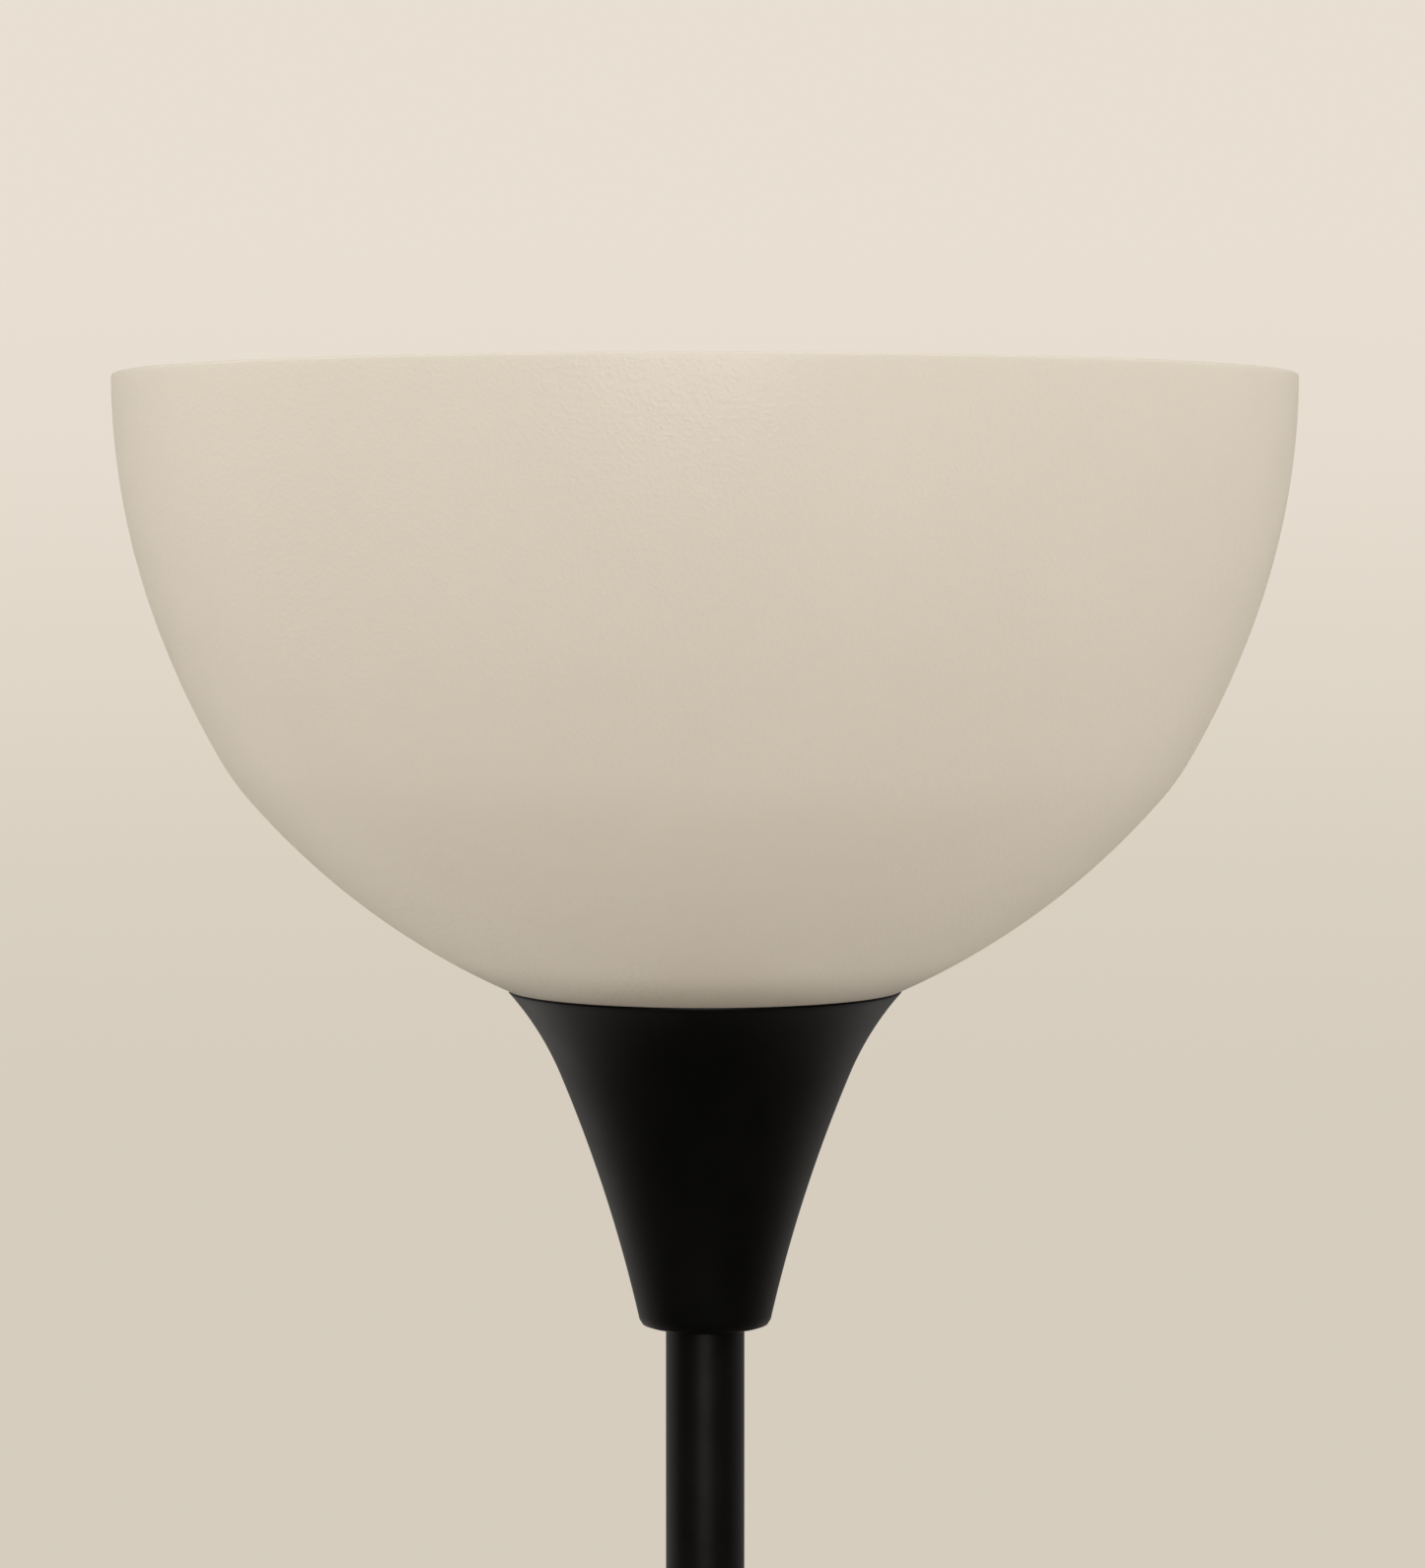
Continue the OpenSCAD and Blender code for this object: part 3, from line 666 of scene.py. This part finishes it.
def turned_knob():
    """The knob about +Z. Its flutes are the upper part of a cosine of the angle, held to a flat floor, and
    fade at the skirt and towards the middle of the face. A pointer groove is sunk in the face along +Y."""
    length, flutes, flute_depth = KNOB_FRONT - KNOB_BACK, 12, 0.6 * MM
    bore, bore_end, skirt_bore, skirt_depth = 2.55 * MM, length - 3 * MM, 4.4 * MM, 2 * MM
    side = rounded([[0, bore_end], [bore, bore_end, 0.2 * MM], [bore, skirt_depth, 0.3 * MM],
                    [skirt_bore, skirt_depth, 0.2 * MM], [skirt_bore, 0, 0.3 * MM], [KNOB_R, 0, 0.4 * MM],
                    [KNOB_R, 2.6 * MM, 0.3 * MM], [KNOB_R - 0.5 * MM, length, 1.3 * MM],
                    [KNOB_R - 2.6 * MM, length, 0.5 * MM], [0, length - 0.5 * MM]], closed=False)

    def wave(distance, height, around):
        valley = np.clip(1.5 * np.cos(flutes * around) - 0.25, 0, 1) ** 1.2
        fade_low = np.clip((height - 3 * MM) / (1.5 * MM), 0, 1)
        fade_in = np.clip((distance - KNOB_R) / (1.7 * MM) + 1.5, 0, 1)
        return distance - flute_depth * valley * fade_low * fade_in
    grid = turned(axis_to_axis(side, 0.35 * MM), 16 * flutes, wave)
    pointer = (grid[..., 1] > 1 * MM) * (grid[..., 2] > length - 1.5 * MM)
    grid[..., 2] -= 0.5 * MM * np.clip(1.2 - np.abs(grid[..., 0]) / (0.5 * MM), 0, 1) * pointer
    grid[..., 2] += KNOB_BACK
    return forward(grid)


def make_switch_front():
    """The knob, and the round nut behind it, whose edge swings by a cosine as its knurl."""
    piece("switch_knob_grip", [skin(turned_knob(), line_closed=False)], "knob", KNOB_BLACK,
          ["switch_knob"])
    back, front, bore, edge = BOSS_FRONT, BOSS_FRONT + 2 * MM, 4.05 * MM, 5.8 * MM
    teeth, tooth = 40, 0.2 * MM
    nut = rounded([[bore, back, 0.1 * MM], [edge, back, 0.2 * MM], [edge, front, 0.4 * MM],
                   [bore, front, 0.2 * MM]])

    def knurl(distance, height, around):
        swing = 0.5 + 0.5 * np.cos(teeth * around)
        return distance - np.where(distance > edge - 0.3 * MM, tooth * swing, 0)
    grid = turned(refined(nut, 0.5 * MM), 8 * teeth, knurl)
    piece("switch_ring_nut", [skin(forward(grid))], "stand", ZINC, ["switch_nut"])


def turned_screw(tip):
    """A screw about +Z whose head ends at tip: a shank, a round-edged head and a shallow crown. The cross
    recess lowers the head wherever the smaller of |x| and |y| is under the blade's half width."""
    shank, foot, blade, cross = 1.45 * MM, tip - 3.6 * MM, 0.2 * MM, 1.15 * MM
    side = rounded([[0, foot], [shank, foot, 0.3 * MM], [shank, tip - 0.4 * MM],
                    [SCREW_HEAD_R, tip - 0.4 * MM, 0.04 * MM], [SCREW_HEAD_R, tip - 0.12 * MM, 0.1 * MM],
                    [0.9 * MM, tip - 0.02 * MM, 1 * MM], [0, tip]], closed=False)
    grid = turned(axis_to_axis(side, 0.12 * MM), 64)
    near = np.minimum(np.abs(grid[..., 0]), np.abs(grid[..., 1]))
    inside = np.clip((cross - np.hypot(grid[..., 0], grid[..., 1])) / (0.15 * MM), 0, 1)
    recess = np.clip(1.8 - near / blade, 0, 1) * inside * (grid[..., 2] > tip - 0.2 * MM)
    grid[..., 2] -= 0.3 * MM * recess
    return grid


def make_side_screws():
    """Two screws on each side of the housing hold its end caps."""
    corner_low, corner_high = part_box("housing_screws")
    heights = (corner_low.z + SCREW_HEAD_R, corner_high.z - SCREW_HEAD_R)
    screw = turned_screw(corner_high.x)
    shells = [skin(sideways(screw, side, z), line_closed=False) for z in heights for side in (-1, 1)]
    piece("side_screws", shells, "stand", ZINC, ["housing_screws"])


# ---- the base ----

def cover_side(inset):
    """The cover's outline from its skirt's top inwards, set in by inset: a quarter round that stops where
    it meets the slope of the dome's rim, and a dome that is part of a large sphere, both about fixed
    centres."""
    slope, round_r, seat = math.radians(8), 6 * MM, 16 * MM
    skirt_top = COVER_LOW + 14 * MM
    t = np.linspace(0, math.pi / 2 - slope, 14)
    edge = np.column_stack((BASE_R - round_r + (round_r - inset) * np.cos(t),
                            skirt_top + (round_r - inset) * np.sin(t)))
    edge_x = BASE_R - round_r * (1 - math.sin(slope))
    dome_r = edge_x / math.sin(slope)
    centre = skirt_top + round_r * math.cos(slope) - dome_r * math.cos(slope)
    x = np.linspace(edge_x, seat, 40)[1:]
    dome = np.column_stack((x, centre + np.sqrt((dome_r - inset) ** 2 - x ** 2)))
    return np.vstack((edge, dome))


def make_cover():
    """The cover's outside and inside lines, joined by a rounded lower edge and round the hole in the
    seat."""
    outer, inner = cover_side(0), cover_side(COVER_WALL)[::-1]
    hole, top, half_wall, bevel = 5 * MM, outer[-1, 1], COVER_WALL / 2, 0.12 * MM
    foot = [[BASE_R - half_wall, COVER_LOW], [BASE_R - bevel, COVER_LOW + bevel],
            [BASE_R, COVER_LOW + half_wall]]
    outline = np.vstack((foot, outer, [[hole, top], [hole, top - COVER_WALL]], inner,
                         [[BASE_R - COVER_WALL, COVER_LOW + half_wall]]))
    piece("base_shell", [lathe(refined(outline, 4 * MM), 256)], "stand", POLE_BLACK,
          ["base_cover"])


def make_collar():
    """The trim ring that hides the joint of the pole and the cover."""
    z, top, bore, foot_r = low("base_collar"), high("base_collar"), TUBE_R + GAP, 14.5 * MM
    collar = rounded([[bore, z], [foot_r, z, 0.2 * MM], [foot_r, z + 2.5 * MM, 0.8 * MM],
                      [TUBE_R + 2.4 * MM, z + 7.6 * MM, 1.5 * MM], [TUBE_R + 1.7 * MM, top, 0.5 * MM],
                      [bore, top, 0.3 * MM]])
    piece("collar", [lathe(collar, 96)], "stand", PLASTIC_BLACK, ["base_collar"])


def make_foot_pad():
    """A flat foam ring with rounded edges."""
    pad_r, hole, top = reach("base_pad"), 30 * MM, high("base_pad")
    pad = rounded([[hole, 0, 0.5 * MM], [pad_r, 0, 0.6 * MM], [pad_r, top, 0.3 * MM],
                   [hole, top, 0.3 * MM]])
    piece("foot_pad", [lathe(refined(pad, 6 * MM), 192)], "stand", FOAM, ["base_pad"])


def make_cord_bush():
    """A rubber gland about +Y: a rounded flange outside the skirt, a groove for the skirt's wall and a
    tail. Places along it are in millimetres from its outer end."""
    bore, neck, barb, flange = 3.1, 4.6, 5.4, 5.8
    corners = [[bore, 0, 0.5], [bore, 12, 0.2], [neck, 12, 0.3], [neck, 5.3, 0.1], [barb, 5.3, 0.3],
               [barb, 3.3, 0.3], [neck, 3.3, 0.1], [neck, 2, 0], [flange, 2, 0.2], [flange, 0, 0.9]]
    bush = rounded([[x * MM, GLAND_OUT - y * MM, radius * MM] for x, y, radius in corners])
    piece("cord_bush", [skin(backward(turned(bush, 72), GLAND_Z))], "stand", RUBBER,
          ["cord_gland"])


def dress_cad_nodes():
    """CAD nodes whose own shape is right keep it and get the material of their slot."""
    finishes = {"zinc_steel": ZINC, "concrete": CONCRETE, "brown_plastic": BROWN_PLASTIC, "brass": BRASS,
                "wire_insulation": INSULATION, "porcelain": PORCELAIN, "solder": SOLDER,
                "black_glass": BLACK_GLASS, "circuit_board": BOARD_GREEN, "aluminium_board": BOARD_WHITE,
                "black_plastic": PLASTIC_BLACK, "black_steel": POLE_BLACK, "nickel": NICKEL,
                "white_plastic": WHITE_PLASTIC}
    slots = {row["node"]: row["material_slot"] for row in frame["record"]["subparts"]}
    for name, thing in frame["nodes"].items():
        if thing.hide_render or slots[name] not in finishes:
            continue
        thing.data.materials.clear()
        thing.data.materials.append(finishes[slots[name]])


# ---- room, light and camera ----

def make_room():
    """A round pale floor that fades into the background at its edge."""
    rings = np.array([6.2, 5.0, 3.5, 2.0, 1.0, 0.3, 0.0])
    f = Finish("floor")
    distance = f.add("ShaderNodeVectorMath", {0: f.where}, operation="LENGTH").outputs["Value"]
    cloud = f.spread(f.noise(3, 3, 0.5), 0, 1, 0.3, 0.7)
    tone = f.blend(cloud, colour(0.60, 0.565, 0.51), colour(0.61, 0.575, 0.52))
    matt = f.principled(Base_Color=tone, Roughness=0.75, Normal=f.bump(f.noise(120, 3, 0.6), 0.1, 0.5 * MM))
    clear = f.add("ShaderNodeBsdfTransparent").outputs["BSDF"]
    material = f.done(f.mixed(f.spread(distance, 0, 1, 2.6, 6.0, smooth=True), matt, clear))
    disc = lathe(np.column_stack((rings, 0 * rings)), 96, line_closed=False)
    floor = bpy.data.objects.new("floor", shell_mesh("floor", [disc]))
    floor.data.materials.append(material)
    bpy.context.scene.collection.objects.link(floor)
    floor.visible_glossy = False
    floor.visible_diffuse = False


def make_world():
    """Plain pale surroundings. What lights the lamp is even all round, dimmer overhead, below and low on the
    viewer's side, and warmer below. What shines back from its glossy surfaces is dim, and dimmest on the
    viewer's side."""
    world = bpy.data.worlds.new("studio")
    bpy.context.scene.world = world
    w = Graph(world, "ShaderNodeOutputWorld")
    split = w.add("ShaderNodeSeparateXYZ", {0: w.add("ShaderNodeTexCoord").outputs["Generated"]})
    x, y, z = split.outputs
    horizon = w.spread(z, 0, 1, -0.12, 0.07, smooth=True)
    backdrop = w.blend(horizon, colour(0.672, 0.610, 0.515), colour(0.812, 0.742, 0.650))

    walls = w.spread(z, 0.60, 1.54, -0.75, 0.12, smooth=True)
    ceiling = w.spread(z, 0, 0.45, 0.35, 0.95, smooth=True)
    viewer_side = w.spread(y, 0.42, 0, -0.85, -0.2, smooth=True)
    viewer = w.math("MULTIPLY", viewer_side, w.spread(z, 1, 0, -0.7, 0.0, smooth=True))
    room = w.math("SUBTRACT", w.math("SUBTRACT", walls, ceiling), viewer)
    upwards = w.spread(z, 0, 1, -0.75, 0.1, smooth=True)
    warmth = w.blend(upwards, colour(1.0, 0.925, 0.80), colour(1.0, 0.965, 0.905))
    fill = w.add("ShaderNodeBackground", {"Color": warmth, "Strength": room}).outputs[0]

    around = w.spread(y, 0.010, 0.23, -0.35, 0.40, smooth=True)
    beyond_side = w.spread(y, 0, 1, 0.2, 0.8, smooth=True)
    beyond = w.math("MULTIPLY", w.spread(z, 0.40, 0, -0.6, -0.2, smooth=True), beyond_side)
    level = w.math("MULTIPLY", w.math("ADD", around, beyond), w.spread(x, 1.35, 0.70, -1, 1))
    shine = w.math("ADD", level, w.spread(z, 0, 0.5, 0.25, 0.8, smooth=True))
    gleam = w.add("ShaderNodeBackground", {"Color": colour(1.0, 0.96, 0.90), "Strength": shine}).outputs[0]

    seen = w.add("ShaderNodeBackground", {"Color": backdrop}).outputs[0]
    path = w.add("ShaderNodeLightPath").outputs
    w.done(w.mixed(path["Is Camera Ray"], w.mixed(path["Is Glossy Ray"], fill, gleam), seen))


def make_front_window():
    """A soft window behind the viewer, which shows only as a gleam on glossy surfaces."""
    place, target = Vector((-0.05, -3.2, 2.25)), Vector((0, 0, 1.75))
    data = bpy.data.lights.new("front_window", "AREA")
    data.shape = "RECTANGLE"
    data.size, data.size_y = 1.8, 0.85
    data.energy = 34
    data.color = (1.0, 0.97, 0.92)
    window = bpy.data.objects.new("front_window", data)
    bpy.context.scene.collection.objects.link(window)
    window.matrix_world = Matrix.LocRotScale(place, (target - place).to_track_quat("-Z", "Y"), None)
    window.visible_camera = False
    window.visible_diffuse = False


def make_camera():
    """1.1 m from the pole and a little under the rim, looking slightly down. The frame is shifted down a
    little more, so that it holds the top of the pole while the pole's sides stay nearly parallel."""
    aside, away, under_rim, downwards = 1.76 * MM, 1.1031, 41.1 * MM, math.radians(1.93)
    data = bpy.data.cameras.new("camera")
    data.sensor_width = 36
    data.lens = 106.4
    data.shift_y = -0.05
    camera = bpy.data.objects.new("camera", data)
    bpy.context.scene.collection.objects.link(camera)
    camera.location = (aside, -away, RIM_Z - under_rim)
    camera.rotation_euler = (math.pi / 2 - downwards, 0, 0)
    bpy.context.scene.camera = camera


make_camera()
make_shade()
make_cup()
make_tube("pole_bottom", "lower_tube")
make_tube("pole_middle", "middle_tube")
make_tube("pole_top", "upper_tube")
make_skirt()
make_dome()
make_screw_shell()
make_shade_ring()
make_globe()
make_bulb_body()
make_bulb_cap()
make_end_cap("switch_foot_cap", "switch_lower_cap", HOUSING_LOW, 1)
make_end_cap("switch_head_cap", "switch_upper_cap", HOUSING_HIGH, -1)
make_switch_housing()
make_switch_front()
make_side_screws()
make_cover()
make_collar()
make_foot_pad()
make_cord_bush()
dress_cad_nodes()
make_room()
make_world()
make_front_window()
bpy.context.scene.view_settings.view_transform = "Standard"
